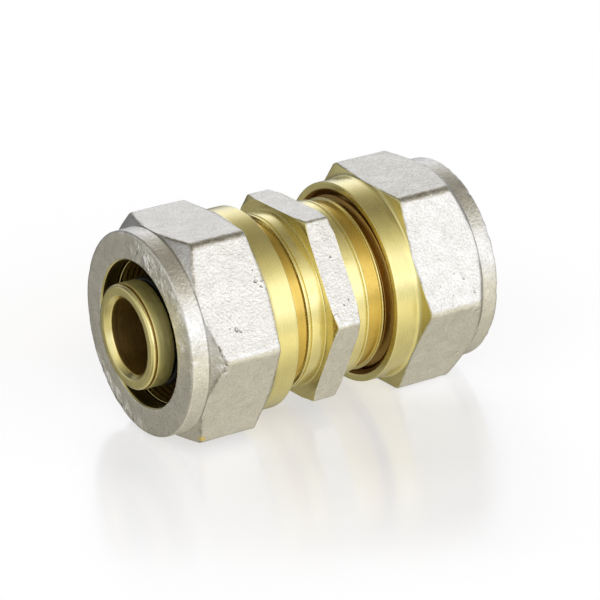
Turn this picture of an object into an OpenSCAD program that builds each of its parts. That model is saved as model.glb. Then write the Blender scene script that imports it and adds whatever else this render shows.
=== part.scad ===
// Straight compression coupling for 16 x 2 multilayer pipe.
// Frame: origin on the pipe axis at the middle of the centre hexagon,
// +X along the axis towards the right end, +Z up. Millimetres.
// Every part is drawn upright, with its distance from the middle along Z.
// It is then laid on +X or -X by a rotation, never by a mirror, so both
// threads stay right-handed.

/* [Pipe] */
// Outside diameter of the pipe that each end takes
pipe_od = 16; // [15.9:0.05:16]
// Bore of the pipe that slides over each spigot
pipe_id = 12; // [12:0.05:12.1]

/* [Body] */
// Centre hexagon across its flats
body_af = 21; // [20.6:0.1:22]
// Half the width of the centre hexagon along the axis
body_hex_half = 1.65; // [1.5:0.05:1.8]
// Diameter of the two plain bands beside the hexagon
band_d = 19.82; // [19.6:0.02:19.9]
// Distance from the middle to the mouth of each threaded barrel
barrel_end = 12.5; // [12.4:0.05:12.6]
// Distance from the middle to the tip of each spigot
spigot_end = 20.95; // [20.65:0.05:22]
// Bore that the water runs through
waterway_d = 8.4; // [7.6:0.1:8.8]

/* [Nuts] */
// Nut hexagon across its flats
nut_af = 23; // [22.9:0.1:24]
// Length of each nut along the axis
nut_length = 13.29; // [13.2:0.01:13.4]
// Distance from the middle to the outer face of the left nut
left_nut_face = 19.34; // [19.3:0.01:19.4]
// How much further out the right nut stands, because it is screwed on less
right_nut_shift = 0.485; // [0.4:0.005:0.6]
// Clocking of the left nut: a hexagon corner from +Z towards -Y, degrees
left_clock = 30.6; // [0:0.1:60]
// Clocking of the right nut: a hexagon corner from +Z towards -Y, degrees
right_clock = 34.3; // [0:0.1:60]

/* [Thread] */
// Thread pitch, right-handed, M20 x 1.5 form
pitch = 1.5; // [1.5:0.1:1.5]
// Diameter over the crests of the barrel thread
barrel_crest_d = 19.86; // [19.8:0.02:19.88]
// Diameter at the root of the barrel thread
barrel_root_d = 18.1; // [18:0.02:18.12]
// Straight pieces in one turn of thread
thread_steps = 36; // [24:12:48]

/* [Seals] */
// Section of each O-ring
oring_section = 1.1; // [1:0.02:1.12]
// Diameter at the bottom of each O-ring groove
groove_d = 10; // [9.9:0.02:10.02]
// Distance from the middle to the inner O-ring groove
inner_groove = 14; // [13.6:0.1:14.4]
// Distance from the middle to the outer O-ring groove
outer_groove = 17.4; // [17.2:0.1:17.6]
// Width of each groove
groove_w = 1.8; // [1.6:0.05:1.9]

/* [Split ring] */
// Gap where each clamping ring is slit through
slit_w = 1.6; // [1:0.1:3]
// How far the grip teeth stand clear of the pipe before the nut is tightened
tooth_gap = 0.02; // [0.01:0.01:0.05]

/* [Hidden] */
$fn = 96;

LEFT = -1;
RIGHT = 1;

// Body
overlap = 0.01;                        // each half crosses the middle by this
blank_r = 13;                          // outside the centre hexagon's corners
band_r = band_d / 2;
waterway_r = waterway_d / 2;
pocket_r = pipe_od / 2 + 0.2;          // pipe pocket in the barrel
pocket_floor = 7.5;                    // bottom of the pipe pocket
spigot_r = pipe_id / 2 - 0.1;          // spigot wall the pipe slides on
spigot_root_r = spigot_r + 0.2;        // thicker root that centres the washer
spigot_root_length = 1;

// Threads
flank_angle = 30;                      // each flank from square to the axis
thread_fade = 150;                     // degrees over which an end fades out
barrel_crest_r = barrel_crest_d / 2;
barrel_root_r = barrel_root_d / 2;
barrel_top_w = 0.19;                   // width of the barrel ridge's top
barrel_thread_from = 6.75;             // ridge centreline at its first point
barrel_thread_to = barrel_end + 0.9;   // past the mouth, then trimmed
nut_root_r = barrel_crest_r + 0.21;    // clearance over the barrel crests
nut_crest_r = barrel_root_r + 0.2;     // clearance over the barrel root
nut_top_w = 0.325;                     // width of the nut ridge's top
nut_thread_margin = 1.85;              // ridge start from the inner face
nut_thread_depth = 6.74;               // ridge end from the outer face

// Nuts
right_nut_face = left_nut_face + right_nut_shift;
nut_corner_r = nut_af / 2 / cos(30);
cavity_r = 9.25;                       // room for the split ring
collar_r = nut_af / 2 - 0.05;          // round outer end, just inside the flats
hub_r = nut_af / 2 - 0.1;              // round inner end

// Split rings
ring_r = 9.15;
tooth_tip_r = pipe_od / 2 + tooth_gap;
tooth_root_r = tooth_tip_r + 0.18;
tooth_pitch = 0.7;
first_tooth_root = 2.38;               // depths from the nut's outer face
ring_back = 6.44;
slit_depth = 8;                        // slit cutter, longer than the ring
slit_reach = 12;                       // and wider than its radius
left_slit_angle = 200;                 // from +Z towards +Y
right_slit_angle = 75;                 // from -Z towards +Y

// O-rings and washers
oring_centre_r = groove_d / 2 + 0.02 + oring_section / 2;
washer_t = 0.98;
washer_lift = 0.01;                    // clear of the pocket floor
washer_outer_r = pocket_r - 0.08;
washer_hole_r = spigot_root_r + 0.04;

// Lays an upright part on the axis, its Z pointing outwards on that side
module laid(side) {
    rotate([0, 90 * side, 0]) children();
}

// A hexagonal bar along Z with a corner at the given angle
module hex_bar(across_flats, length, corner_angle) {
    rotate([0, 0, corner_angle])
        cylinder(r = across_flats / 2 / cos(30), h = length, $fn = 6);
}

// Closed helical ridge of trapezoidal section, outward if top_r > foot_r.
// foot_r: radius of its base, buried in the wall.
// top_r, top_w: radius and width of its top.
// fade_r: radius, just inside the wall, from which the top rises at each end.
// first, last: heights of the centreline at its ends.
// phase: height of the helix at angle 0.
module ridge(foot_r, top_r, top_w, fade_r, first, last, phase) {
    outward = top_r > foot_r;
    start = (first - phase) / pitch * 360;
    end = (last - phase) / pitch * 360;
    steps = ceil((end - start) / 360 * thread_steps);

    function top_at(angle) =
        fade_r + (top_r - fade_r) * min(angle - start, end - angle, thread_fade) / thread_fade;
    function half_width(r) = top_w / 2 + abs(top_r - r) * tan(flank_angle);
    function on_ridge(r, angle, z) = [r * cos(angle), r * sin(angle), z];

    // Four corners at each step: foot, top, top, foot
    points = [
        for (i = [0 : steps])
        let (
            angle = start + (end - start) * i / steps,
            z = phase + pitch * angle / 360,
            top = top_at(angle)
        )
        each [
            on_ridge(foot_r, angle, z - half_width(foot_r)),
            on_ridge(top, angle, z - half_width(top)),
            on_ridge(top, angle, z + half_width(top)),
            on_ridge(foot_r, angle, z + half_width(foot_r))
        ]
    ];
    sides = [
        for (i = [0 : steps - 1], k = [0 : 3])
        let (here = 4 * i + k, next = 4 * i + (k + 1) % 4)
        each [[here, next, next + 4], [here, next + 4, here + 4]]
    ];
    e = 4 * steps;
    caps = [[0, 2, 1], [0, 3, 2], [e, e + 1, e + 2], [e, e + 2, e + 3]];
    // An inward ridge needs every face turned over
    faces = [for (f = concat(sides, caps)) outward ? f : [f[0], f[2], f[1]]];
    polyhedron(points = points, faces = faces, convexity = 12);
}

// Outlines are lists of [radius, distance from the middle]

// An O-ring groove in the spigot wall
function groove(centre) = [
    [spigot_r, centre - groove_w / 2],
    [groove_d / 2, centre - groove_w / 2],
    [groove_d / 2, centre + groove_w / 2],
    [spigot_r, centre + groove_w / 2]
];

// One half of the body, from the middle to the spigot tip
half_body_outline = [
    // centre hexagon, with its corners bevelled
    [waterway_r, -overlap], [blank_r, -overlap], [blank_r, 1.12],
    [body_af / 2 + 0.7, body_hex_half],
    // plain band with a narrow groove, then a wider step
    [band_r, body_hex_half], [band_r, 3.44],
    [band_r - 0.3, 3.5], [band_r - 0.3, 3.6],
    [band_r, 3.66], [band_r, 3.9],
    [band_r - 0.36, 3.98], [band_r - 0.36, 5.6],
    [band_r - 0.1, 5.68], [band_r - 0.1, 5.84],
    // barrel
    [barrel_root_r, 5.92], [barrel_root_r, barrel_end - 0.1],
    [barrel_root_r - 0.1, barrel_end],
    // pipe pocket, flared at its mouth
    [pocket_r + 0.65, barrel_end], [pocket_r, barrel_end - 1],
    [pocket_r, pocket_floor],
    // spigot
    [spigot_root_r, pocket_floor],
    [spigot_root_r, pocket_floor + spigot_root_length],
    [spigot_r, pocket_floor + spigot_root_length],
    each groove(inner_groove),
    each groove(outer_groove),
    // stepped spigot tip
    [spigot_r, spigot_end - 0.62],
    [spigot_r - 0.22, spigot_end - 0.56], [spigot_r - 0.22, spigot_end - 0.44],
    [spigot_r - 0.1, spigot_end - 0.38], [spigot_r - 0.1, spigot_end - 0.2],
    [spigot_r - 0.3, spigot_end],
    [waterway_r + 0.5, spigot_end], [waterway_r, spigot_end - 0.6]
];

// Space the barrel thread may fill, tapering towards the mouth
thread_trim_outline = [
    [barrel_root_r - 0.6, 6],
    [barrel_crest_r + 0.3, 6],
    [barrel_crest_r + 0.3, barrel_end - 1.2],
    [barrel_root_r + 0.02, barrel_end - 0.12],
    [barrel_root_r - 0.6, barrel_end - 0.12]
];

// Hexagon flats face up and down
module turned_half() {
    intersection() {
        rotate_extrude() polygon(half_body_outline);
        translate([0, 0, -overlap]) hex_bar(body_af, spigot_end + 1, 30);
    }
}

module barrel_thread() {
    intersection() {
        ridge(foot_r = barrel_root_r - 0.1, top_r = barrel_crest_r,
              top_w = barrel_top_w, fade_r = barrel_root_r - 0.05,
              first = barrel_thread_from, last = barrel_thread_to, phase = 0);
        rotate_extrude() polygon(thread_trim_outline);
    }
}

module half_of_body(side) {
    laid(side) {
        turned_half();
        barrel_thread();
    }
}

module coupling_body() {
    color("darkkhaki") {
        half_of_body(RIGHT);
        half_of_body(LEFT);
    }
}

// Turns [radius, depth below a nut's outer face] into an outline
function below_face(face, points) = [for (p = points) [p[0], face - p[1]]];

// Nut: [radius, depth]
nut_points = [
    // outer face and rounded collar
    [pocket_r + 0.15, 0], [collar_r - 0.24, 0], [collar_r - 0.14, 0.02],
    [collar_r - 0.06, 0.07], [collar_r - 0.02, 0.14], [collar_r, 0.24],
    [collar_r, 2.06],
    // hexagon
    [nut_corner_r + 0.1, 3.53], [nut_corner_r + 0.1, 9.88],
    // hub and inner face
    [hub_r + 0.5, 10.2], [hub_r + 0.2, 10.3], [hub_r + 0.06, 10.46],
    [hub_r, 10.7], [hub_r, nut_length - 0.15], [hub_r - 0.15, nut_length],
    // threaded bore, split ring cavity and pipe hole
    [nut_root_r + 0.46, nut_length], [nut_root_r, nut_length - 0.46],
    [nut_root_r, 5.64], [cavity_r, 5.64], [cavity_r, 3.44],
    [pocket_r, 1.64], [pocket_r, 0.15]
];

module nut(side, face, clock) {
    color("gainsboro") laid(side) {
        intersection() {
            rotate_extrude() polygon(below_face(face, nut_points));
            translate([0, 0, face - nut_length - 1])
                hex_bar(nut_af, nut_length + 2, side * clock);
        }
        // half a pitch from the barrel's ridge, so the two are in mesh
        ridge(foot_r = nut_root_r + 0.06, top_r = nut_crest_r,
              top_w = nut_top_w, fade_r = nut_root_r + 0.03,
              first = face - nut_length + nut_thread_margin,
              last = face - nut_thread_depth, phase = pitch / 2);
    }
}

// Clamping ring: [radius, depth]
ring_points = [
    [tooth_root_r + 0.15, ring_back],
    [ring_r, 5.34], [ring_r, 3.59],
    [tooth_root_r + 0.04, 1.95], [tooth_tip_r + 0.05, 1.95],
    // grip teeth
    [tooth_tip_r, 2.02],
    for (i = [0 : 3]) let (root = first_tooth_root + i * tooth_pitch)
        each [[tooth_root_r, root], [tooth_tip_r, root + tooth_pitch / 2]],
    [tooth_root_r, first_tooth_root + 4 * tooth_pitch],
    [tooth_root_r, ring_back]
];

module split_ring(side, face, slit_angle) {
    color("goldenrod") laid(side) difference() {
        rotate_extrude() polygon(below_face(face, ring_points));
        rotate([0, 0, slit_angle])
            translate([0, -slit_w / 2, face - slit_depth])
                cube([slit_reach, slit_w, slit_depth]);
    }
}

module oring(side, centre) {
    color("black") laid(side) translate([0, 0, centre]) rotate_extrude()
        translate([oring_centre_r, 0])
            circle(d = oring_section, $fn = 32);
}

module insulating_washer(side) {
    color("white") laid(side)
        translate([0, 0, pocket_floor + washer_lift]) difference() {
            cylinder(r = washer_outer_r, h = washer_t);
            translate([0, 0, -1]) cylinder(r = washer_hole_r, h = washer_t + 2);
        }
}

module left_nut() { nut(LEFT, left_nut_face, left_clock); }
module right_nut() { nut(RIGHT, right_nut_face, right_clock); }
module left_split_ring() { split_ring(LEFT, left_nut_face, left_slit_angle); }
module right_split_ring() { split_ring(RIGHT, right_nut_face, right_slit_angle); }
module left_outer_oring() { oring(LEFT, outer_groove); }
module left_inner_oring() { oring(LEFT, inner_groove); }
module right_outer_oring() { oring(RIGHT, outer_groove); }
module right_inner_oring() { oring(RIGHT, inner_groove); }
module left_insulating_washer() { insulating_washer(LEFT); }
module right_insulating_washer() { insulating_washer(RIGHT); }

coupling_body();
left_nut();
right_nut();
left_split_ring();
right_split_ring();
left_outer_oring();
left_inner_oring();
right_outer_oring();
right_inner_oring();
left_insulating_washer();
right_insulating_washer();
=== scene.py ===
# A straight compression coupling: a brass body with a hexagon at its middle, a nickel-plated
# nut, a split ring, two O-rings and a washer at each end. Its axis is X, with the left end
# at -X, the middle at the origin and +Z up. Lengths are millimetres, turned into metres when
# a mesh is made. `along` is the distance from the middle along an end's outward axis,
# `radius` is measured from the axis, and `angle` runs from +Z towards -Y.
import bpy
import math
import numpy as np
from functools import reduce
from mathutils import Matrix, Vector


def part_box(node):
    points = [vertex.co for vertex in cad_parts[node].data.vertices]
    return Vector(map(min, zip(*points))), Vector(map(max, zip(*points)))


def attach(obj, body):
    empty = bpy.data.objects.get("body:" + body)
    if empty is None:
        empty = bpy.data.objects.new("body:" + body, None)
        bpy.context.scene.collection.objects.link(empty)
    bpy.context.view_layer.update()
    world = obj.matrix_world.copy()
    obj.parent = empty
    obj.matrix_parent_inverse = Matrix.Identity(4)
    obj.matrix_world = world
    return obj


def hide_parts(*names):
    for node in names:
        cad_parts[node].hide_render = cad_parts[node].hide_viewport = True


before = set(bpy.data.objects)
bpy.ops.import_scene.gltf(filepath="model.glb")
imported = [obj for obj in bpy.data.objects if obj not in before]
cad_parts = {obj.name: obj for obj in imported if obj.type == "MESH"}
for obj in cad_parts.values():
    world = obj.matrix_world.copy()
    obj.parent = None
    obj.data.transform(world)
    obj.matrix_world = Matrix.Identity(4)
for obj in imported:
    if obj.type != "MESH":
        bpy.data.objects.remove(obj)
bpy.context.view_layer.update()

MM_PER_M = 1000.0
DEG = math.pi / 180
SIDES = {"left": -1, "right": 1}


def reach(node, side):
    """Inner and outer end of a CAD piece along its outward axis."""
    lo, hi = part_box(node)
    return sorted((side * lo.x * MM_PER_M, side * hi.x * MM_PER_M))


# ---------------------------------------------------------------- dimensions
NUT_ENDS = {side: reach(f"{word}_nut", side) for word, side in SIDES.items()}
RING_FRONT = {side: reach(f"{word}_split_ring", side)[1] for word, side in SIDES.items()}
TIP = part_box("coupling_body")[1].x * MM_PER_M           # spigot tip
BODY_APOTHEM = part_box("coupling_body")[1].z * MM_PER_M  # half the body hexagon's flats
BODY_TURN = 30.0                                        # angle of a hexagon corner, degrees
NUT_APOTHEM = 11.5
NUT_TURN = {-1: 30.6, 1: 34.3}
NUT_SEED = {-1: 3, 1: 8}
CONE_DEPTH = 2.06                    # nut face to the foot of its cone
PITCH = 1.5                          # of the thread
RING_SLIT = {-1: -200, 1: 255}       # angle of the split, degrees


# ---------------------------------------------------------------- noise
def cell_value(cell, seed):
    """Repeatable random value in -1..1 for whole-number cells, by scrambling their bits."""
    mixed = (cell[..., 0] * 374761393 + cell[..., 1] * 668265263
             + cell[..., 2] * 2147483647 + seed * 1274126177) & 0xFFFFFFFF
    mixed = (mixed ^ (mixed >> 13)) * 1274126177 & 0xFFFFFFFF
    mixed = (mixed ^ (mixed >> 16)) * 2246822519 & 0xFFFFFFFF
    mixed = mixed ^ (mixed >> 15)
    return (mixed & 0xFFFFFF) / float(0xFFFFFF) * 2 - 1


def value_noise(points, size, seed):
    """Smooth noise in -1..1 at points (..., 3), one feature about `size` mm wide."""
    scaled = points / size
    cell = np.floor(scaled).astype(np.int64)
    part = scaled - cell
    part = part * part * part * (part * (part * 6 - 15) + 10)
    total = 0
    for corner in np.ndindex(2, 2, 2):
        weight = 1
        for axis, step in enumerate(corner):
            weight = weight * (part[..., axis] if step else 1 - part[..., axis])
        total = total + weight * cell_value(cell + np.array(corner), seed)
    return total


def waves(points, layers, seed):
    """Sum of noise layers, each (height, size) in mm."""
    return sum(height * value_noise(points, size, seed + k)
               for k, (height, size) in enumerate(layers))


def bell(offset, width):
    return np.exp(-(offset / width) ** 2)


# ---------------------------------------------------------------- profiles
def fillet_profile(rows, angle_count, arc_pieces=4):
    """Closed profile with filleted corners, for every angle.
    rows: (along, radius, fillet, pieces, slot) for each corner; along and radius are
    numbers or one value per angle, pieces and slot belong to the run to the next corner.
    Returns along and radius (angles x points), and the run and slot of each edge;
    half a fillet belongs to each neighbouring run."""
    around = np.ones(angle_count)
    corners = np.stack([np.stack([row[0] * around, row[1] * around], axis=-1)
                        for row in rows], axis=1)
    fillets = np.array([row[2] for row in rows], float)
    before, after = np.roll(corners, 1, axis=1), np.roll(corners, -1, axis=1)
    gap_before = np.linalg.norm(corners - before, axis=2)
    gap_after = np.linalg.norm(after - corners, axis=2)
    cut = np.minimum(np.minimum(fillets, 0.46 * gap_before), 0.46 * gap_after)[..., None]
    enter = corners + (before - corners) * cut / np.maximum(gap_before, 1e-9)[..., None]
    leave = corners + (after - corners) * cut / np.maximum(gap_after, 1e-9)[..., None]
    points, runs = [], []
    for k, row in enumerate(rows):
        if fillets[k] > 0:
            for j in range(arc_pieces):
                t = j / arc_pieces
                points.append((1 - t) ** 2 * enter[:, k] + 2 * t * (1 - t) * corners[:, k]
                              + t * t * leave[:, k])
                runs.append((k - 1) % len(rows) if t < 0.5 else k)
        run_end = enter[:, (k + 1) % len(rows)]
        for j in range(row[3]):
            t = j / row[3]
            points.append((1 - t) * leave[:, k] + t * run_end)
            runs.append(k)
    loop = np.stack(points, axis=1)
    return loop[..., 0], loop[..., 1], np.array(runs), [rows[k][4] for k in runs]


def corner_arc(apothem, rounding):
    """Distance of a hexagon's corner arc centre from the axis, and the arc's half angle."""
    centre = (apothem - rounding) / math.cos(math.pi / 6)
    half = math.atan2(rounding * 0.5, centre + rounding * math.cos(math.pi / 6))
    return centre, half


def hex_radius(angles, apothem, turn, rounding):
    """Radius of a hexagonal bar with rounded corners, one of them at `turn` degrees."""
    off = (angles - turn * DEG + math.pi / 6) % (math.pi / 3) - math.pi / 6
    centre, half = corner_arc(apothem, rounding)
    flat = apothem / np.cos(math.pi / 6 - np.abs(off))
    chord = np.sqrt(np.maximum(rounding ** 2 - (centre * np.sin(off)) ** 2, 0))
    return np.where(np.abs(off) < half, centre * np.cos(off) + chord, flat)


def hex_angles(apothem, turn, rounding, coarse=26, fine=9, least_gap=0.12):
    """Angles round a hexagon, closer together at its rounded corners."""
    half = corner_arc(apothem, rounding)[1] / DEG
    offsets = np.unique(np.round(np.concatenate([
        np.linspace(-30, 30, coarse, endpoint=False),
        np.linspace(-half, half, fine),
        [-half - 0.5, half + 0.5]]), 4))
    kept = [offsets[0]]
    for offset in offsets[1:]:
        if offset - kept[-1] > least_gap:
            kept.append(offset)
    return np.concatenate([turn + 60 * k + np.array(kept) for k in range(6)]) * DEG


def thread_radius(along, angles, side, root, crest, crest_width, shift, start, end, fade=0.6):
    """Radius of a helical thread; the ridge points inwards where crest is below root.
    It dies away over `fade` at start and end."""
    turns = (angles - math.pi) / (2 * math.pi) if side > 0 else -angles / (2 * math.pi)
    off = (along - shift - PITCH * turns) % PITCH
    off = np.minimum(off, PITCH - off)               # distance from the crest's middle
    depth = abs(crest - root)
    height = depth - np.maximum(off - crest_width / 2, 0) / math.tan(math.pi / 6)
    height = np.clip(height, 0, depth)
    growth = np.clip(np.minimum(along - start, end - along) / fade, 0, 1)
    return root + np.sign(crest - root) * np.minimum(height, depth * growth)


# ---------------------------------------------------------------- meshes
def to_xyz(side, along, radius, angles):
    return np.stack(np.broadcast_arrays(
        side * along, -radius * np.sin(angles), radius * np.cos(angles)), axis=-1)


def swept_mesh(name, points, materials, edge_slots, closed=True, edge_shade=None):
    """Mesh from points (angles x profile x 3) whose profile is a closed loop.
    It closes round the axis, or is capped at both ends if `closed` is off."""
    turns, count = points.shape[:2]
    rows = np.arange(turns if closed else turns - 1)
    row, col = np.meshgrid(rows, np.arange(count), indexing="ij")
    next_row, next_col = (row + 1) % turns, (col + 1) % count
    corners = (row, col), (row, next_col), (next_row, next_col), (next_row, col)
    quads = np.stack([i * count + j for i, j in corners], axis=-1).reshape(-1, 4)
    faces = quads.tolist()
    slots = np.tile(edge_slots, len(rows))
    if not closed:
        faces.append(list(range(count)))
        faces.append([(turns - 1) * count + i for i in range(count - 1, -1, -1)])
        slots = np.concatenate([slots, [slots[0], slots[0]]])
    flat_points = points.reshape(-1, 3)
    # a negative volume means the faces look inwards
    a, b, c, d = (flat_points[quads[:, i]] for i in range(4))
    volume = (np.einsum("ij,ij->i", a, np.cross(b, c)).sum()
              + np.einsum("ij,ij->i", a, np.cross(c, d)).sum())
    if volume < 0:
        faces = [face[::-1] for face in faces]
    mesh = bpy.data.meshes.new(name)
    mesh.from_pydata((flat_points / MM_PER_M).tolist(), [], faces)
    for material in materials:
        mesh.materials.append(material)
    mesh.polygons.foreach_set("material_index", slots.astype(np.int32))
    mesh.polygons.foreach_set("use_smooth", np.ones(len(faces), bool))
    # per-point weight of the painted dark reflection on the nut's edges
    if edge_shade is not None:
        layer = mesh.attributes.new("edge_shade", "FLOAT", "POINT")
        layer.data.foreach_set("value", np.ascontiguousarray(edge_shade, dtype=np.float32).ravel())
    mesh.update()
    return add_object(name, mesh)


def add_object(name, data):
    piece = bpy.data.objects.new(name, data)
    bpy.context.scene.collection.objects.link(piece)
    return piece


def raise_skin(points, relief, runs, plated, flat, spread):
    """Push the plated runs outwards by `relief`, blended over `spread` profile points.
    `flat` is the run of the hexagon's flats, whose normals tell which way is out."""
    round_axis = np.roll(points, -1, 0) - np.roll(points, 1, 0)
    round_profile = np.roll(points, -1, 1) - np.roll(points, 1, 1)
    normals = np.cross(round_axis, round_profile)
    normals = normals / np.maximum(np.linalg.norm(normals, axis=-1, keepdims=True), 1e-12)
    outward = (normals * points)[..., 1:].sum(-1)[:, runs == flat].mean()
    sign = 1.0 if outward > 0 else -1.0
    weight = np.isin(runs, plated).astype(float)
    half = spread // 2
    weight = np.convolve(np.concatenate([weight[-half:], weight, weight[:half]]),
                         np.ones(spread) / spread, mode="valid")
    return points + normals * (sign * relief * weight[None, :])[..., None]


def register(piece, mount, node):
    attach(piece, mount)
    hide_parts(node)


# ---------------------------------------------------------------- node trees
class Net:
    """Short helpers for wiring one emptied node tree."""

    def __init__(self, tree):
        self.tree = tree
        tree.nodes.clear()

    def new(self, kind, inputs=None, **settings):
        """A node; inputs maps a socket's name or number to a value or another socket."""
        node = self.tree.nodes.new(kind)
        for key, value in settings.items():
            setattr(node, key, value)
        for key, value in (inputs or {}).items():
            socket = node.inputs[key]
            if isinstance(value, bpy.types.NodeSocket):
                self.tree.links.new(value, socket)
            elif socket.type == "RGBA":
                socket.default_value = (*value, 1)
            else:
                socket.default_value = value
        return node

    def math(self, operation, first, second=0.0, third=None, clamp=False):
        inputs = {0: first, 1: second}
        if third is not None:
            inputs[2] = third
        return self.new("ShaderNodeMath", inputs, operation=operation, use_clamp=clamp).outputs[0]

    def add(self, first, second):
        return self.math("ADD", first, second)

    def sub(self, first, second, clamp=False):
        return self.math("SUBTRACT", first, second, clamp=clamp)

    def mul(self, first, second):
        return self.math("MULTIPLY", first, second)

    def div(self, first, second):
        return self.math("DIVIDE", first, second)

    def most(self, first, second):
        return self.math("MAXIMUM", first, second)

    def weigh(self, first, second, share):
        """`share` of the first and the rest of the second."""
        return self.add(self.mul(first, share), self.mul(second, 1 - share))

    def noise(self, place, scale, detail=2.0, rough=0.5, distortion=0.0, output="Fac"):
        return self.new("ShaderNodeTexNoise", {
            "Vector": place, "Scale": scale, "Detail": detail, "Roughness": rough,
            "Distortion": distortion}).outputs[output]

    def ramp(self, value, stops):
        """stops: (position, grey or RGB) in rising order."""
        node = self.new("ShaderNodeValToRGB", {"Fac": value})
        elements = node.color_ramp.elements
        elements[0].position, elements[1].position = stops[0][0], stops[-1][0]
        for position, _ in stops[1:-1]:
            elements.new(position)
        for element, (_, colour) in zip(elements, stops):
            element.color = (*colour, 1) if isinstance(colour, tuple) else (*[colour] * 3, 1)
        return node.outputs["Color"]

    def remap(self, value, span, to=(0.0, 1.0), smooth=False):
        return self.new("ShaderNodeMapRange", {
            "Value": value, "From Min": span[0], "From Max": span[1],
            "To Min": to[0], "To Max": to[1]},
            clamp=True, interpolation_type="SMOOTHSTEP" if smooth else "LINEAR").outputs["Result"]

    def mix(self, factor, first, second, blend="MIX"):
        return self.new("ShaderNodeMix", {"Factor": factor, 6: first, 7: second},
                        data_type="RGBA", blend_type=blend).outputs[2]

    def place(self):
        """Object coordinates in mm."""
        source = self.new("ShaderNodeTexCoord").outputs["Object"]
        return self.new("ShaderNodeVectorMath", {0: source, "Scale": MM_PER_M},
                        operation="SCALE").outputs[0]

    def split(self, vector):
        return self.new("ShaderNodeSeparateXYZ", {0: vector}).outputs

    def join(self, x, y, z):
        return self.new("ShaderNodeCombineXYZ", {0: x, 1: y, 2: z}).outputs[0]

    def turning(self, x, y, z):
        """Coordinates (axial place, radius, 0), so that marks run round the axis."""
        radius = self.math("SQRT", self.add(self.mul(y, y), self.mul(z, z)))
        return self.join(x, radius, 0.0)

    def bump(self, height, metres, strength=1.0):
        return self.new("ShaderNodeBump", {
            "Height": height, "Strength": strength, "Distance": metres}).outputs["Normal"]

    def principled(self, inputs):
        return self.new("ShaderNodeBsdfPrincipled", inputs)

    def show(self, shader, output="ShaderNodeOutputMaterial"):
        self.new(output, {"Surface": shader.outputs[0]})


def new_material(name):
    material = bpy.data.materials.new(name)
    material.use_nodes = True
    return material, Net(material.node_tree)


# ---------------------------------------------------------------- nickel plate
NICKEL_DARK, NICKEL_PALE = (0.70, 0.68, 0.64), (0.82, 0.80, 0.76)
SPOT_COLOUR = (0.38, 0.365, 0.33)
# painted shade for the speckle of the grain
GRAIN_SPECKLE_SHADE = (0.34, 0.325, 0.30)
# painted shade for the crease at the foot of each nut's cone
FOOT_CREASE_SHADE = (0.20, 0.19, 0.17)
# colour of the dark pits, of the painted shade in dents and of the painted dark reflections on
# edges
PIT_AND_SHADE_DARK = (0.24, 0.21, 0.17)
RUBBED_COLOUR = (0.95, 0.94, 0.92)
BARE_BRASS = (0.80, 0.66, 0.24)
BARE_PLACE, BARE_RADIUS = (-16.2, -6.95, -10.85), 0.55
NICKEL_ROUGH = (0.30, 0.42)
NICKEL_BUMP = 0.000055               # height of one grain, metres
# Dents in the plated skin: centre, radius and depth in grain heights.
DENTS = [
    ((-9.95, -9.45, 6.66), 0.30, 2.6), ((-9.45, -9.75, 6.15), 0.26, 2.4),
    ((-9.2, -9.5, 6.6), 0.20, 1.6), ((-13.9, -11.64, 2.77), 0.34, 2.2),
    ((-13.4, -11.75, 2.55), 0.2, 1.8), ((-14.5, -11.6, 2.9), 0.18, 1.6),
    ((-16.5, -12.4, 1.4), 0.3, 3.0), ((-16.2, -12.55, 0.6), 0.3, 3.0),
    ((-16.0, -12.7, -0.3), 0.36, 3.4), ((-16.0, -12.65, -1.2), 0.3, 2.6),
    ((-15.6, -12.2, -2.0), 0.25, 2.2), ((15.0, -11.84, 1.92), 0.2, 1.3),
    ((16.0, -12.62, 0.3), 0.22, 1.3), ((15.7, -12.3, 1.1), 0.16, 1.0),
    ((11.8, -12.01, 1.56), 0.14, 1.0), ((16.3, -12.6, -1.94), 0.4, 2.6),
    ((16.4, -8.32, -8.22), 0.3, 2.0), ((0.2, -8.24, 6.72), 0.18, 2.2),
    ((0.7, -10.74, 2.39), 0.16, 2.0), ((0.1, -11.0, 2.0), 0.12, 2.0),
    ((-19.34, -0.7, 9.5), 0.35, 1.6), ((-19.34, -3.5, 8.6), 0.4, 1.2),
]
# Pale rubbed places with a rippled skin: centre and radius.
SCUFFS = [
    ((-19.3, 9.6, -6.2), 1.3), ((-19.3, 8.1, -7.9), 1.4), ((-19.3, 6.1, -9.3), 1.5),
    ((-19.3, 4.0, -10.4), 1.4), ((-19.3, 1.6, -10.9), 1.2), ((-1.3, -11.5, 1.0), 0.45),
    ((0.2, -11.7, 0.7), 0.4), ((1.2, -11.6, 0.9), 0.4), ((-19.3, -0.6, 9.7), 1.5),
    ((-19.3, -3.0, 9.2), 1.7), ((-19.3, -5.3, 8.2), 1.8), ((-19.3, -7.3, 6.6), 1.8),
    ((-19.3, -8.7, 4.5), 1.7), ((-19.3, -9.4, 2.0), 1.3), ((-16.4, -12.2, 0.5), 0.7),
    ((-16.3, -12.5, -1.0), 0.8), ((-8.5, -7.6, 10.9), 0.6), ((16.1, -12.3, -1.2), 0.8),
]


def warped_place(net, place):
    """Coordinates shaken by noise, so that marks get ragged outlines."""
    wobble = net.noise(place, scale=1.9, detail=3.0, output="Color")
    shift = net.new("ShaderNodeVectorMath", {0: wobble, 1: (0.8,) * 3, 2: (-0.4,) * 3},
                    operation="MULTIPLY_ADD").outputs[0]
    return net.new("ShaderNodeVectorMath", {0: shift, 1: place}, operation="ADD").outputs[0]


def nearness(net, place, centre, radius):
    """Distance from a centre, in radii."""
    distance = net.new("ShaderNodeVectorMath", {0: place, 1: centre},
                       operation="DISTANCE").outputs["Value"]
    return net.div(distance, radius)


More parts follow.
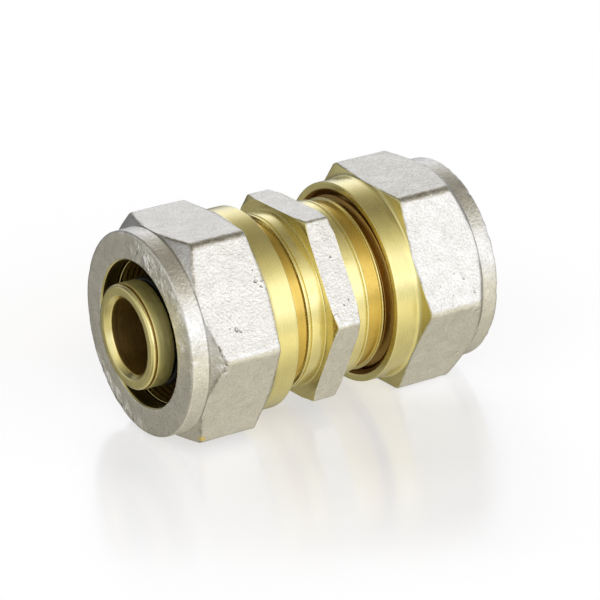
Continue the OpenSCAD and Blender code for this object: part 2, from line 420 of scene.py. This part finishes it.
def cone_foot_shade(net, x, cloud):
    """Painted shade in the crease at the foot of each nut's cone."""
    bands = []
    for side in SIDES.values():
        foot = side * (NUT_ENDS[side][1] - CONE_DEPTH)
        distance = net.math("ABSOLUTE", net.sub(x, foot))
        bands.append(net.remap(distance, span=(0.03, 0.14), to=(1.0, 0.0), smooth=True))
    return net.mul(reduce(net.most, bands), net.remap(cloud, span=(0.35, 0.6), to=(0.35, 0.75)))


def nickel():
    """Matt nickel plate over a forged, blasted skin."""
    material, net = new_material("forged_nickel_plate")
    place = net.place()
    warped = warped_place(net, place)
    cloud = net.noise(place, scale=0.45, detail=3, rough=0.55)
    fine = net.noise(place, scale=8.0, detail=2, rough=0.6)
    grain = net.noise(place, scale=3.3, detail=2, rough=0.55)
    blotch = net.noise(place, scale=1.0, detail=3, rough=0.6)
    tone = net.remap(net.weigh(cloud, blotch, share=0.45), span=(0.36, 0.64))
    colour = net.mix(tone, NICKEL_DARK, NICKEL_PALE)
    spots = net.remap(net.noise(place, scale=1.7, detail=4, rough=0.68), span=(0.66, 0.76))
    colour = net.mix(net.mul(spots, 0.5), colour, SPOT_COLOUR)
    # random dark speckle, painted as the shade in the grain's hollows
    salt = net.remap(net.noise(place, scale=3.9, detail=3, rough=0.75),
                     span=(0.36, 0.51), to=(0.33, 0.0))
    colour = net.mix(salt, colour, GRAIN_SPECKLE_SHADE)
    # painted shade in the crease at the foot of each cone
    colour = net.mix(cone_foot_shade(net, net.split(place)[0], cloud), colour, FOOT_CREASE_SHADE)

    # sparse dark pits
    cells = net.new("ShaderNodeTexVoronoi", {"Vector": place, "Scale": 1.1}).outputs["Distance"]
    kept = net.remap(net.noise(place, scale=0.5, detail=1, rough=0.5), span=(0.56, 0.62))
    pit = net.mul(net.remap(cells, span=(0.05, 0.10), to=(1.0, 0.0)), kept)
    dent = reduce(net.add, [
        net.remap(nearness(net, warped, centre, radius), span=(0.25, 1.0), to=(-depth, 0.0),
                  smooth=True) for centre, radius, depth in DENTS])
    scuff = reduce(net.most, [
        net.remap(nearness(net, warped, centre, radius), span=(0.45, 1.15), to=(1.0, 0.0),
                  smooth=True) for centre, radius in SCUFFS])
    ragged = net.remap(net.noise(place, scale=0.75, detail=4, rough=0.62),
                       span=(0.36, 0.64), to=(0.05, 1.0), smooth=True)
    scuff = net.mul(scuff, ragged)

    # dark pits, with painted shade in the dents' hollows and painted dark reflections along the
    # hexagon's edges
    hollow = net.remap(dent, span=(-2.6, -0.6), to=(1.0, 0.0))
    dark = net.most(net.mul(pit, 0.6), net.mul(hollow, 0.22))
    edge = net.new("ShaderNodeAttribute", attribute_name="edge_shade").outputs["Fac"]
    patchy = net.remap(net.noise(place, scale=1.3, detail=3, rough=0.7),
                       span=(0.35, 0.6), to=(0.2, 0.85))
    colour = net.mix(net.most(dark, net.mul(edge, patchy)), colour, PIT_AND_SHADE_DARK)
    patchy = net.remap(net.noise(place, scale=1.0, detail=4, rough=0.72),
                       span=(0.40, 0.60), to=(0.1, 0.9))
    rubbed = net.mul(scuff, patchy)
    colour = net.mix(rubbed, colour, RUBBED_COLOUR)
    bare = net.remap(nearness(net, warped, BARE_PLACE, BARE_RADIUS),
                     span=(0.7, 1.0), to=(1.0, 0.0), smooth=True)
    colour = net.mix(bare, colour, BARE_BRASS)

    rough = net.add(net.remap(grain, span=(0.3, 0.7), to=NICKEL_ROUGH), net.mul(spots, 0.08))
    rough = net.sub(rough, net.mul(scuff, 0.16))
    # heights in grains
    height = net.add(net.mul(fine, 0.3), grain)
    height = net.add(height, net.mul(pit, -1.2))
    height = net.add(height, dent)
    ripple = net.noise(place, scale=1.05, detail=3, rough=0.55, distortion=0.25)
    height = net.add(height, net.mul(net.mul(ripple, scuff), 2.2))
    net.show(net.principled({
        "Base Color": colour,
        "Metallic": net.sub(1.0, net.mul(rubbed, 0.7)),
        "Roughness": rough,
        "Normal": net.bump(height, NICKEL_BUMP)}))
    return material


# ---------------------------------------------------------------- other materials
def brass(name, base=(0.92, 0.81, 0.37), rough=(0.2, 0.32), lines=0.6, stain=0.3, coat=0.6):
    """Turned brass: the marks run round the axis. lines is their strength, stain the
    strongest staining and coat the weight of a thin lacquer that pales the highlights."""
    material, net = new_material(name)
    place = net.place()
    x, y, z = net.split(place)
    turning = net.turning(x, y, z)
    fine = net.noise(turning, scale=7.0, detail=2, rough=0.6)
    coarse = net.noise(turning, scale=2.2, detail=1, rough=0.5)
    drift = net.noise(net.join(x, net.mul(y, 0.25), net.mul(z, 0.25)),
                      scale=3.0, detail=2, rough=0.6)
    cloud = net.noise(place, scale=0.35, detail=3, rough=0.6)
    tone = net.remap(net.weigh(fine, cloud, share=0.4), span=(0.35, 0.65))
    colour = net.mix(tone, tuple(channel * 0.84 for channel in base), base)
    stained = net.remap(net.noise(place, scale=0.8, detail=4, rough=0.65),
                        span=(0.6, 0.75), to=(0.0, stain))
    colour = net.mix(stained, colour, (base[0] * 0.55, base[1] * 0.45, base[2] * 0.35))
    height = net.add(net.mul(fine, 0.6), coarse)
    net.show(net.principled({
        "Base Color": colour,
        "Metallic": 1.0,
        "Roughness": net.remap(net.weigh(fine, drift, share=0.5), span=(0.35, 0.65), to=rough),
        "Coat Weight": coat,
        "Coat Roughness": 0.22,
        "Normal": net.bump(height, metres=0.000008, strength=lines)}))
    return material


def rubber():
    material, net = new_material("black_seal_rubber")
    mottle = net.noise(net.place(), scale=4.0, detail=3, rough=0.6)
    net.show(net.principled({
        "Base Color": net.mix(mottle, (0.004, 0.004, 0.004), (0.010, 0.010, 0.009)),
        "Roughness": net.remap(mottle, span=(0.3, 0.7), to=(0.22, 0.4)),
        "Specular IOR Level": 0.22,
        "Normal": net.bump(mottle, metres=0.00001, strength=0.4)}))
    return material


def ptfe():
    material, net = new_material("white_ptfe")
    place = net.place()
    cloud = net.noise(place, scale=1.5, detail=3, rough=0.5)
    lines = net.noise(net.turning(*net.split(place)), scale=6.0, detail=1, rough=0.5)
    net.show(net.principled({
        "Base Color": net.mix(cloud, (0.80, 0.80, 0.77), (0.88, 0.88, 0.86)),
        "Roughness": net.remap(lines, span=(0.3, 0.7), to=(0.35, 0.5)),
        "Subsurface Weight": 0.2,
        "Subsurface Radius": (0.001, 0.001, 0.001),
        "Normal": net.bump(lines, metres=0.00001, strength=0.4)}))
    return material


NICKEL = nickel()
BRASS = brass("turned_brass")
BRASS_NUT = brass("turned_brass_nut", base=(0.85, 0.75, 0.33), lines=0.5, stain=0.12)
BRASS_RING = brass("turned_brass_ring", base=(0.88, 0.78, 0.34), rough=(0.15, 0.25), stain=0.1)
# darker brass as painted shade inside the body's bores
BRASS_BORE_SHADED = brass("bored_brass", base=(0.62, 0.46, 0.17), rough=(0.3, 0.45), stain=0.6, coat=0.0)
# darker brass as painted shade between the thread's flanks and in the spigot tip's groove
BRASS_THREAD_SHADED = brass("cut_thread_brass_painted_shade", base=(0.50, 0.31, 0.085), rough=(0.25, 0.4),
                     stain=0.5, coat=0.0)
# very dark brass as painted shade inside the nut's bore
BRASS_NUT_BORE_SHADED = brass("nut_bore_brass_painted_shade", base=(0.27, 0.215, 0.085), rough=(0.3, 0.45),
                   stain=0.6, coat=0.0)
# very dark brass as painted shade on the split ring's teeth and back
BRASS_TEETH_SHADED = brass("toothed_brass_painted_shade", base=(0.30, 0.22, 0.075), rough=(0.25, 0.4),
                    stain=0.6, coat=0.0)
# deeper amber brass as painted shade and painted brass-on-brass reflection in the body's recess
BRASS_RECESS_SHADED = brass("recessed_brass_painted_shade", base=(0.74, 0.52, 0.125), rough=(0.18, 0.28),
                     stain=0.5, coat=0.0)
# paler than plain brass, as painted light on the spigot, which lies in the nut's shade
BRASS_SPIGOT_LIT = brass("rough_turned_brass_painted_light", base=(1.0, 0.92, 0.42), rough=(0.42, 0.55),
                     lines=0.9, stain=0.1)
RUBBER = rubber()
PTFE = ptfe()


# ---------------------------------------------------------------- nuts
NUT_ROUNDING = 1.15                  # of the hexagon's corners
COLLAR = NUT_APOTHEM - 0.05          # round front part, before the cone
HUB = NUT_APOTHEM - 0.1              # round inner part
NUT_CREST, NUT_ROOT = 9.25, 10.14    # thread radii
# Inner end of the hexagon: height above the hub, place from the face.
END_HEIGHTS = [0, 0.06, 0.2, 0.5, 2.0]
END_PLACES = [-10.7, -10.46, -10.3, -10.2, -9.88]
NUT_WAVES = [(0.018, 3.2), (0.010, 1.3), (0.006, 0.6)]
# Painted dark reflection along some of the hexagon's corners: degrees from the first corner,
# strength.
SHADED_CORNERS = [(0, 0.75), (180, 0.5), (240, 0.4)]
CORNER_REACH, CORNER_SHADE_WIDTH = 13.2, 0.42


def nut_relief(points, along, radius, hexagon, face, side):
    """Height of the forged skin: slow waves, a scuffed face rim and worn corners."""
    seed = NUT_SEED[side]
    place = points + (side * 37.0 + seed)
    relief = waves(place, NUT_WAVES, seed)
    scuff = np.clip(value_noise(place, 0.8, seed + 5) - 0.25, 0, 1)
    relief = relief - 0.16 * (bell(along - face, 0.5) * bell(radius - COLLAR, 0.45)) * scuff
    corner = bell(radius - hexagon, 0.3) * (hexagon > NUT_APOTHEM + 1.2)
    return relief - 0.05 * corner * np.clip(value_noise(place, 1.1, seed + 7), 0, 1)


def build_nut(word, side):
    hub_end, face = NUT_ENDS[side]
    turn = NUT_TURN[side]
    angles = hex_angles(NUT_APOTHEM, turn, NUT_ROUNDING)
    hexagon = hex_radius(angles, NUT_APOTHEM, turn, NUT_ROUNDING)
    # the cone moves 1.47 mm along between the collar and just past the sharp corner
    cone_slope = 1.47 / (NUT_APOTHEM / math.cos(math.pi / 6) + 0.1 - COLLAR)
    cone_edge = face - CONE_DEPTH - (hexagon - COLLAR) * cone_slope

    def hex_end(radius):
        return face + np.interp(radius, [HUB + height for height in END_HEIGHTS], END_PLACES)

    inner_high = np.minimum(hexagon - 0.006, HUB + 0.5)
    inner_low = np.minimum(hexagon - 0.012, HUB + 0.2)
    plate, turned, bore, thread = range(4)
    cone_run, flat_run, end_run, thread_run = 2, 3, 4, 11
    # along, radius, fillet, pieces, slot
    rows = [
        (face, 8.35, 0.04, 12, plate),                              # hole's edge on the face
        (face, COLLAR, 0.24, 9, plate),                             # face rim
        (face - CONE_DEPTH, COLLAR, 0.25, 7, plate),                # foot of the cone
        (cone_edge, hexagon, 0.22, 30, plate),                      # cone meets the flat
        (hex_end(hexagon), hexagon, 0.16, 4, turned),               # flat ends
        (hex_end(inner_high), inner_high, 0.1, 2, turned),
        (hex_end(inner_low), inner_low, 0.1, 2, turned),
        (face - 10.46, HUB + 0.06, 0.06, 2, turned),
        (face - 10.7, HUB, 0.15, 12, turned),                       # hub's root
        (hub_end, HUB, 0.12, 4, turned),                            # hub's end
        (hub_end, 10.6, 0.1, 3, thread),
        (hub_end + 0.46, NUT_ROOT, 0.08, 150, thread),
        (face - 5.64, NUT_ROOT, 0.0, 3, bore),
        (face - 5.64, 9.25, 0.05, 6, bore),
        (face - 3.44, 9.25, 0.05, 6, bore),
        (face - 1.64, 8.2, 0.05, 5, bore),
        (face - 0.15, 8.2, 0.05, 1, turned),
    ]
    along, radius, runs, slots = fillet_profile(rows, len(angles))
    cut = np.where(runs == thread_run)[0]
    ridge = thread_radius(along[:, cut], angles[:, None], side, NUT_ROOT, NUT_CREST,
                          crest_width=0.325, shift=PITCH / 2,
                          start=hub_end + 1.15, end=face - 6.2)
    radius[:, cut] = np.where(along[:, cut] > hub_end + 0.7,
                              np.minimum(radius[:, cut], ridge), radius[:, cut])
    points = to_xyz(side, along, radius, angles[:, None])
    relief = nut_relief(points, along, radius, hexagon[:, None], face, side)
    points = raise_skin(points, relief, runs, plated=[0, 1, 2, 3], flat=flat_run, spread=5)

    # painted dark reflections on the rounded edges and corners of the hexagon
    edge_shade = np.maximum(
        bell(along - cone_edge[:, None], 0.16) * (radius > COLLAR + 0.2),
        bell(along - hex_end(hexagon)[:, None], 0.14) * (radius > HUB + 0.02))
    for degrees, amount in SHADED_CORNERS:
        off = (angles - (turn + degrees) * DEG + math.pi) % (2 * math.pi) - math.pi
        corner = bell(off * CORNER_REACH, CORNER_SHADE_WIDTH)[:, None]
        edge_shade = np.maximum(edge_shade, amount * corner * (runs == flat_run)[None, :])
    edge_shade = edge_shade * np.isin(runs, [cone_run, flat_run, end_run])[None, :]
    nut = swept_mesh(f"{word}_nut_forged", points,
                     [NICKEL, BRASS_NUT, BRASS_NUT_BORE_SHADED, BRASS_THREAD_SHADED], slots, edge_shade=edge_shade)
    register(nut, f"{word}_nut", f"{word}_nut")


# ---------------------------------------------------------------- body
BODY_ROUNDING = 0.55                 # of the hexagon's corners
HEX_HALF = 1.65                      # half the hexagon's width, below its leaning edge
HEX_SIDE_RADIUS = 11.2               # its side faces lean in above this radius
SHOULDER = 9.91                      # round part beside the hexagon
BODY_ROOT, BODY_CREST = 9.05, 9.93   # thread radii
THREAD_END = 12.5
MOUTH = 8.2                          # wide bore in the threaded end
SPIGOT, GROOVE = 5.9, 5.0            # spigot and the bottoms of its O-ring grooves
BODY_WAVES = [(0.016, 2.6), (0.010, 1.0)]


def body_rows(hexagon):
    """The body's closed profile: its +X half, then the same mirrored."""
    plate, turned, bore, recess, spigot, thread = range(6)
    edge = HEX_HALF - np.maximum(hexagon - HEX_SIDE_RADIUS, 0) * 0.2944
    # along, radius, fillet, pieces, slot
    half = [
        (edge, hexagon, 0.22, 1, turned),
        (HEX_HALF, np.minimum(HEX_SIDE_RADIUS, hexagon - 0.04), 0.06, 5, turned),
        (HEX_HALF, SHOULDER, 0.12, 7, turned),
        (3.44, SHOULDER, 0.06, 1, turned),
        (3.5, SHOULDER - 0.2, 0.03, 1, turned),
        (3.6, SHOULDER - 0.2, 0.03, 1, turned),
        (3.66, SHOULDER, 0.06, 3, turned),
        (3.9, SHOULDER, 0.06, 1, turned),
        (3.98, SHOULDER - 0.36, 0.06, 9, recess),
        (5.6, SHOULDER - 0.36, 0.05, 1, turned),
        (5.68, SHOULDER - 0.1, 0.05, 2, turned),
        (5.84, SHOULDER - 0.1, 0.05, 2, turned),
        (5.92, BODY_ROOT, 0.08, 130, thread),
        (THREAD_END, BODY_ROOT, 0.0, 1, turned),
        (THREAD_END, 8.85, 0.04, 4, turned),
        (THREAD_END - 1, MOUTH, 0.05, 5, bore),
        (7.5, MOUTH, 0.1, 5, bore),
        (7.5, 6.1, 0.05, 2, bore),
        (8.5, 6.1, 0.04, 1, bore),
        (8.5, SPIGOT, 0.04, 8, spigot),
        (13.1, SPIGOT, 0.06, 3, turned),
        (13.1, GROOVE, 0.06, 3, turned),
        (14.9, GROOVE, 0.06, 3, turned),
        (14.9, SPIGOT, 0.06, 3, spigot),
        (16.5, SPIGOT, 0.06, 3, turned),
        (16.5, GROOVE, 0.06, 3, turned),
        (18.3, GROOVE, 0.06, 3, turned),
        (18.3, SPIGOT, 0.06, 6, spigot),
        (TIP - 0.64, SPIGOT, 0.04, 1, thread),
        (TIP - 0.58, 5.72, 0.02, 1, thread),
        (TIP - 0.54, 5.72, 0.02, 1, thread),
        (TIP - 0.48, 5.85, 0.05, 2, turned),
        (TIP - 0.22, 5.85, 0.14, 2, turned),
        (TIP, 5.62, 0.12, 3, turned),
        (TIP, 4.7, 0.12, 3, turned),
        (TIP - 0.6, 4.2, 0.12, 60, bore),                # the through bore
    ]
    # a mirrored corner's run is the one that led up to the corner; the last is the flat
    lead_up = [(14, plate)] + [row[3:] for row in half[:-1]]
    return half + [(-row[0], *row[1:3], *run) for row, run in zip(half[::-1], lead_up[::-1])]


def build_body():
    angles = hex_angles(BODY_APOTHEM, BODY_TURN, BODY_ROUNDING)
    rows = body_rows(hex_radius(angles, BODY_APOTHEM, BODY_TURN, BODY_ROUNDING))
    along, radius, runs, slots = fillet_profile(rows, len(angles))
    lead = 0.1                       # chamfer at the thread's outer end
    for side in (1, -1):
        place = along[0] * side
        cut = np.where((place > 6.0) & (place < THREAD_END + 0.001)
                       & (np.abs(radius[0] - BODY_ROOT) < 0.03))[0]
        place = np.abs(along[:, cut])
        ridge = thread_radius(place, angles[:, None], side, BODY_ROOT, BODY_CREST,
                              crest_width=0.19, shift=0.0, start=6.1, end=math.inf)
        ridge = np.minimum(ridge, BODY_ROOT + np.maximum(THREAD_END - lead - place, 0))
        radius[:, cut] = ridge - lead * np.clip((place - (THREAD_END - lead)) / lead, 0, 1)
    points = to_xyz(1, along, radius, angles[:, None])
    flat_run = len(rows) - 1
    points = raise_skin(points, waves(points + 11.0, BODY_WAVES, seed=21), runs,
                        plated=[flat_run], flat=flat_run, spread=3)
    body = swept_mesh(
        "coupling_body_turned", points,
        [NICKEL, BRASS, BRASS_BORE_SHADED, BRASS_RECESS_SHADED, BRASS_SPIGOT_LIT, BRASS_THREAD_SHADED], slots)
    register(body, "coupling_body", "coupling_body")


# ---------------------------------------------------------------- split rings
RING_DEPTH = 1.95                    # nut face to the ring's front
RING_OUTER = 9.15
TOOTH_TOP, TOOTH_FOOT = 8.02, 8.2
# Depth of the tooth tops and feet in turn, from the nut's face.
TOOTH_DEPTHS = [2.02, 2.38, 2.73, 3.08, 3.43, 3.78, 4.13, 4.48, 4.83, 5.18]


def build_ring(word, side):
    front = RING_FRONT[side]
    face = front + RING_DEPTH
    half_slit = 0.8 / 8.6            # half the slit's width over the radius it is taken at
    angles = RING_SLIT[side] * DEG + np.linspace(half_slit, 2 * math.pi - half_slit, 181)
    # dark is painted shade on the teeth and back; bright is plain brass on the front and outside
    dark, bright = range(2)
    # along, radius, fillet, pieces, slot
    rows = [
        (face - 6.44, TOOTH_FOOT + 0.15, 0.06, 5, dark),
        (face - 5.34, RING_OUTER, 0.15, 6, dark),
        (face - 3.59, RING_OUTER, 0.1, 6, bright),
        (front, TOOTH_FOOT + 0.04, 0.08, 2, bright),
        (front, TOOTH_TOP + 0.05, 0.08, 1, bright),
    ]
    for k, depth in enumerate(TOOTH_DEPTHS):
        rows.append((face - depth, TOOTH_FOOT if k % 2 else TOOTH_TOP, 0.02, 2, dark))
    rows.append((face - 6.44, TOOTH_FOOT, 0.05, 1, dark))
    along, radius, _, slots = fillet_profile(rows, len(angles), arc_pieces=3)
    ring = swept_mesh(f"{word}_split_ring_toothed", to_xyz(side, along, radius, angles[:, None]),
                      [BRASS_TEETH_SHADED, BRASS_RING], slots, closed=False)
    faces = ring.data.polygons
    for k in (1, 2):                 # the two caps at the slit
        faces[len(faces) - k].use_smooth = False
    ring.data.set_sharp_from_angle(angle=50 * DEG)
    register(ring, f"{word}_split_ring", f"{word}_split_ring")


# ---------------------------------------------------------------- O-rings and washers
def build_oring(name, side):
    lo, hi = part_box(name)
    middle = side * ((lo.x + hi.x) / 2 * MM_PER_M)
    cord = (hi.x - lo.x) / 2 * MM_PER_M
    centre = hi.z * MM_PER_M - cord
    angles = np.linspace(0, 2 * math.pi, 120, endpoint=False)[:, None]
    section = np.linspace(0, 2 * math.pi, 28, endpoint=False)[None, :]
    # the moulding's thin flash line runs round the outside
    radius = centre + cord * np.sin(section) + 0.012 * bell(section - math.pi / 2, 0.12)
    points = to_xyz(side, middle + cord * np.cos(section), radius, angles)
    oring = swept_mesh(f"{name}_moulded", points, [RUBBER], [0] * section.size)
    register(oring, "coupling_body", name)


def build_washer(word, side):
    node = f"{word}_insulating_washer"
    inner_end, outer_end = reach(node, side)
    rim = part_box(node)[1].z * MM_PER_M
    hole = 6.14
    angles = np.linspace(0, 2 * math.pi, 120, endpoint=False)
    # along, radius, fillet, pieces, slot
    rows = [(outer_end, hole, 0.12, 6, 0), (outer_end, rim, 0.15, 3, 0),
            (inner_end, rim, 0.15, 6, 0), (inner_end, hole, 0.12, 3, 0)]
    along, radius, _, slots = fillet_profile(rows, len(angles))
    washer = swept_mesh(f"{word}_washer_ptfe", to_xyz(side, along, radius, angles[:, None]),
                        [PTFE], slots)
    register(washer, "coupling_body", node)


build_body()
for word, side in SIDES.items():
    build_nut(word, side)
for word, side in SIDES.items():
    build_ring(word, side)
for word, side in SIDES.items():
    for which in ("outer", "inner"):
        build_oring(f"{word}_{which}_oring", side)
    build_washer(word, side)


# ---------------------------------------------------------------- floor
FLOOR_GREY, FLOOR_GLOW = 0.52, 0.68
FLOOR_GLOSS = 0.17                   # strongest share of mirror reflection
FLOOR_GLOSS_ROUGH = 0.17
FLOOR_PAINTED_SHADOW = 0.235                # share of the glow taken away near the fitting, as a painted shadow and dark reflection
FLOOR_SLOPE = 0.01306                # rise along X
FLAT_EDGE = 17.7                     # x of the outer edge of the right nut's flat
FLOOR_HALF = 3.0                     # metres
# Directions on the floor, mm per metre of world X and Y: across the view, to the viewer.
ACROSS, TOWARD = (847.5, -530.8), (-516.8, -856.1)
# Fades along those directions: start and length in mm, then stops.
TOWARD_FADE = (-12.0, 62.0, [
    (0.0, 0.0), (0.26, 1.0), (0.46, 1.0), (0.63, 0.66), (0.73, 0.44), (0.83, 0.12),
    (0.92, 0.03), (1.0, 0.0)])
ACROSS_FADE = (-25.0, 60.0, [
    (0.0, 0.0), (0.13, 0.2), (0.285, 0.6), (0.42, 1.0), (0.73, 1.0), (0.80, 0.5),
    (0.875, 0.25), (1.0, 0.0)])


def floor_material():
    """White floor whose reflection dies away from the fitting, with a painted shadow that takes
    glow away near it.
    """
    material, net = new_material("floor_white")
    x, y, _ = net.split(net.new("ShaderNodeNewGeometry").outputs["Position"])

    def fade_along(direction, fade):
        start, length, stops = fade
        distance = net.add(net.mul(x, direction[0]), net.mul(y, direction[1]))
        return net.ramp(net.div(net.add(distance, -start), length), stops)

    fade = fade_along(TOWARD, TOWARD_FADE)
    wide = fade_along(ACROSS, ACROSS_FADE)
    # painted shadow and dark reflection in front of the fitting
    painted_shadow = net.mul(net.mul(fade, wide), FLOOR_PAINTED_SHADOW)
    matt = net.principled({
        "Base Color": (FLOOR_GREY, FLOOR_GREY, FLOOR_GREY * 1.08),
        "Roughness": 1.0,
        "Specular IOR Level": 0.0,
        "Emission Color": (1, 1, 1),
        "Emission Strength": net.mul(net.sub(1.0, painted_shadow), FLOOR_GLOW)})
    gloss = net.new("ShaderNodeBsdfGlossy", {
        "Color": (1, 1, 1), "Roughness": FLOOR_GLOSS_ROUGH})
    net.show(net.new("ShaderNodeMixShader", {
        0: net.mul(fade, FLOOR_GLOSS), 1: matt.outputs[0], 2: gloss.outputs[0]}))
    return material


def build_floor():
    """The fitting lies on the outer edge of the right nut's lowest flat and on one
    corner of the left nut."""
    tilt = (NUT_TURN[1] - 30.0) * DEG
    normal = Vector((-FLOOR_SLOPE, -math.sin(tilt), math.cos(tilt))).normalized()
    distance = -NUT_APOTHEM - FLOOR_SLOPE * FLAT_EDGE
    mesh = bpy.data.meshes.new("floor")
    corners = [(x * FLOOR_HALF, y * FLOOR_HALF, 0) for x, y in ((-1, -1), (1, -1), (1, 1), (-1, 1))]
    mesh.from_pydata(corners, [], [(0, 1, 2, 3)])
    floor = add_object("floor", mesh)
    floor.rotation_mode = "QUATERNION"
    floor.rotation_quaternion = Vector((0, 0, 1)).rotation_difference(normal)
    floor.location = normal * (distance / MM_PER_M)
    floor.visible_glossy = False     # the metal sees the studio's lower half instead
    floor.visible_shadow = False
    mesh.materials.append(floor_material())


build_floor()


# ---------------------------------------------------------------- light
CAMERA_BACK = (-0.4839, -0.8017, 0.3509)     # from the target to the camera
# Studio brightness: elevation in degrees, then eight sectors of 45 degrees, the first on
# the camera's side and the rest anticlockwise seen from above.
STUDIO = {
    -90: (0.79, 0.79, 0.79, 0.79, 0.79, 0.79, 0.79, 0.79),
    -45: (0.88, 0.89, 0.60, 0.46, 0.42, 0.36, 0.19, 0.16),
    -20: (0.74, 1.30, 0.89, 0.14, 0.09, 0.02, 0.72, 0.65),
    -6: (0.60, 0.92, 0.81, 0.31, 0.14, 0.10, 1.28, 0.78),
    6: (1.41, 1.85, 1.18, 0.55, 0.86, 0.12, 0.63, 0.78),
    18: (1.38, 1.80, 0.99, 0.46, 1.41, 0.31, 0.51, 0.70),
    30: (1.39, 1.81, 1.09, 0.22, 1.25, 0.00, 0.19, 0.94),
    43: (1.10, 1.08, 0.73, 0.00, 0.66, 0.16, 0.36, 1.15),
    57: (0.50, 0.45, 0.49, 0.28, 0.43, 0.22, 0.36, 0.50),
    72: (0.28, 0.25, 0.21, 0.29, 0.30, 0.24, 0.19, 0.20),
    90: (0.20, 0.20, 0.20, 0.20, 0.20, 0.20, 0.20, 0.20),
}
# Tint by elevation: warm overhead and below, cooler round the horizon.
TINTS = {
    -90: (1.05, 1, 0.82), -20: (1.04, 1, 0.80), -6: (1.0, 1, 0.90), 6: (0.975, 1, 1.15),
    18: (0.97, 1, 1.0), 30: (1.0, 1, 1.09), 43: (1.02, 1, 0.80), 57: (1.08, 1, 0.74),
    72: (1.07, 1, 0.86), 90: (1.06, 1, 1.0),
}
TINT_TOP = 1.2                       # keeps the tint's ramp below 1


def build_world():
    world = bpy.data.worlds.new("studio")
    bpy.context.scene.world = world
    world.use_nodes = True
    net = Net(world.node_tree)
    x, y, z = net.split(net.new("ShaderNodeTexCoord").outputs["Generated"])
    brightest = max(max(row) for row in STUDIO.values())
    sectors = 8
    camera_azimuth = math.atan2(CAMERA_BACK[1], CAMERA_BACK[0])
    azimuth = net.div(net.sub(net.math("ARCTAN2", y, x), camera_azimuth), 2 * math.pi / sectors)
    height = net.add(net.div(net.math("ARCSINE", z), math.pi), 0.5)
    parts = []
    for k in range(sectors):
        off = net.math("WRAP", net.sub(azimuth, float(k)), sectors / 2, -sectors / 2)
        weight = net.sub(1.0, net.math("ABSOLUTE", off), clamp=True)
        light = net.ramp(height, [((elevation + 90) / 180, row[k] / brightest)
                                  for elevation, row in STUDIO.items()])
        parts.append(net.mul(light, weight))
    total = reduce(net.add, parts)
    tint = net.ramp(height, [((elevation + 90) / 180, tuple(c / TINT_TOP for c in colour))
                             for elevation, colour in TINTS.items()])
    net.show(net.new("ShaderNodeBackground", {
        "Color": net.mix(1.0, tint, net.join(total, total, total), blend="MULTIPLY"),
        "Strength": brightest * TINT_TOP}), output="ShaderNodeOutputWorld")


build_world()


# ---------------------------------------------------------------- camera
CAMERA_RIGHT = (0.8467, -0.5303, -0.0438)
CAMERA_TARGET = (1.116, -0.0571, -0.8581)
CAMERA_DISTANCE = 389.438


def build_camera():
    data = bpy.data.cameras.new("camera")
    camera = add_object("camera", data)
    bpy.context.scene.camera = camera
    right = Vector(CAMERA_RIGHT).normalized()
    back = Vector(CAMERA_BACK).normalized()
    up = back.cross(right).normalized()
    right = up.cross(back).normalized()
    place = (Vector(CAMERA_TARGET) + back * CAMERA_DISTANCE) / MM_PER_M
    camera.matrix_world = Matrix((
        (right.x, up.x, back.x, place.x),
        (right.y, up.y, back.y, place.y),
        (right.z, up.z, back.z, place.z),
        (0, 0, 0, 1)))
    data.sensor_width = 36
    data.lens = 211.272
    data.clip_start, data.clip_end = 0.01, 20


build_camera()
view = bpy.context.scene.view_settings
view.view_transform = "Standard"
view.look = "None"
